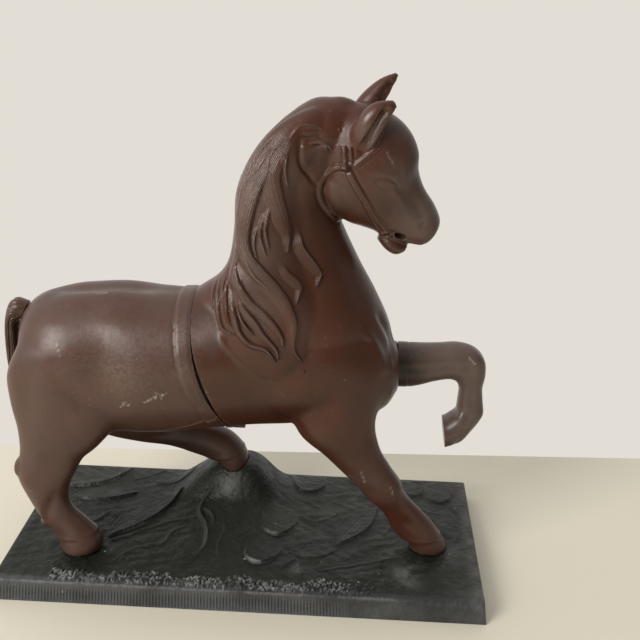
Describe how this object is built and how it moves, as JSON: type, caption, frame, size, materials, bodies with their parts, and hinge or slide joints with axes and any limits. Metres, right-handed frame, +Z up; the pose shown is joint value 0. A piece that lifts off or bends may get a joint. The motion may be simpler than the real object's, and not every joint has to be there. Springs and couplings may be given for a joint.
{
  "type": "figural coin bank",
  "caption": "Trotting horse coin bank: hollow split-shell horse with a slot along its crest and a hinged belly door, screwed by its hooves to a rectangular relief base.",
  "frame": {"origin": "middle of the base's underside", "axes": "+X the way the horse faces, +Y towards the horse's left (far) side, +Z up"},
  "size_m": [0.224, 0.102, 0.23],
  "materials": {
    "brown_front_body_right": "satin, worn, with dark antique wash in the creases",
    "brown_front_body_left": "satin, worn, with dark antique wash in the creases",
    "brown_rear_body_right": "satin, worn, with dark antique wash in the creases",
    "brown_rear_body_left": "satin, worn, with dark antique wash in the creases",
    "brown_belly_door": "satin, worn, with dark antique wash in the creases",
    "brown_raised_foreleg": "satin, worn, with dark antique wash in the creases",
    "brown_tail": "satin, worn, with dark antique wash in the creases",
    "base_plastic": "dull, dark green-grey with pale rubbed edges",
    "steel_hoof_screw_near_fore": "plain zinc-plated",
    "steel_hoof_washer_near_fore": "plain zinc-plated",
    "steel_hoof_screw_near_hind": "plain zinc-plated",
    "steel_hoof_washer_near_hind": "plain zinc-plated",
    "steel_hoof_screw_far_hind": "plain zinc-plated",
    "steel_hoof_washer_far_hind": "plain zinc-plated"
  },
  "bodies": {
    "bank": {"front_body_right": "brown_front_body_right", "front_body_left": "brown_front_body_left", "rear_body_right": "brown_rear_body_right", "rear_body_left": "brown_rear_body_left", "raised_foreleg": "brown_raised_foreleg", "tail": "brown_tail", "base": "base_plastic", "hoof_screw_near_fore": "steel_hoof_screw_near_fore", "hoof_washer_near_fore": "steel_hoof_washer_near_fore", "hoof_screw_near_hind": "steel_hoof_screw_near_hind", "hoof_washer_near_hind": "steel_hoof_washer_near_hind", "hoof_screw_far_hind": "steel_hoof_screw_far_hind", "hoof_washer_far_hind": "steel_hoof_washer_far_hind"},
    "door": {"belly_door": "brown_belly_door"}
  },
  "joints": [
    {"name": "belly_door_hinge", "type": "hinge", "parent": "bank", "child": "door", "pos_m": [-0.0533, 0, 0.0656], "axis": [0, 1, 0], "range_deg": [0, 26]}
  ]
}
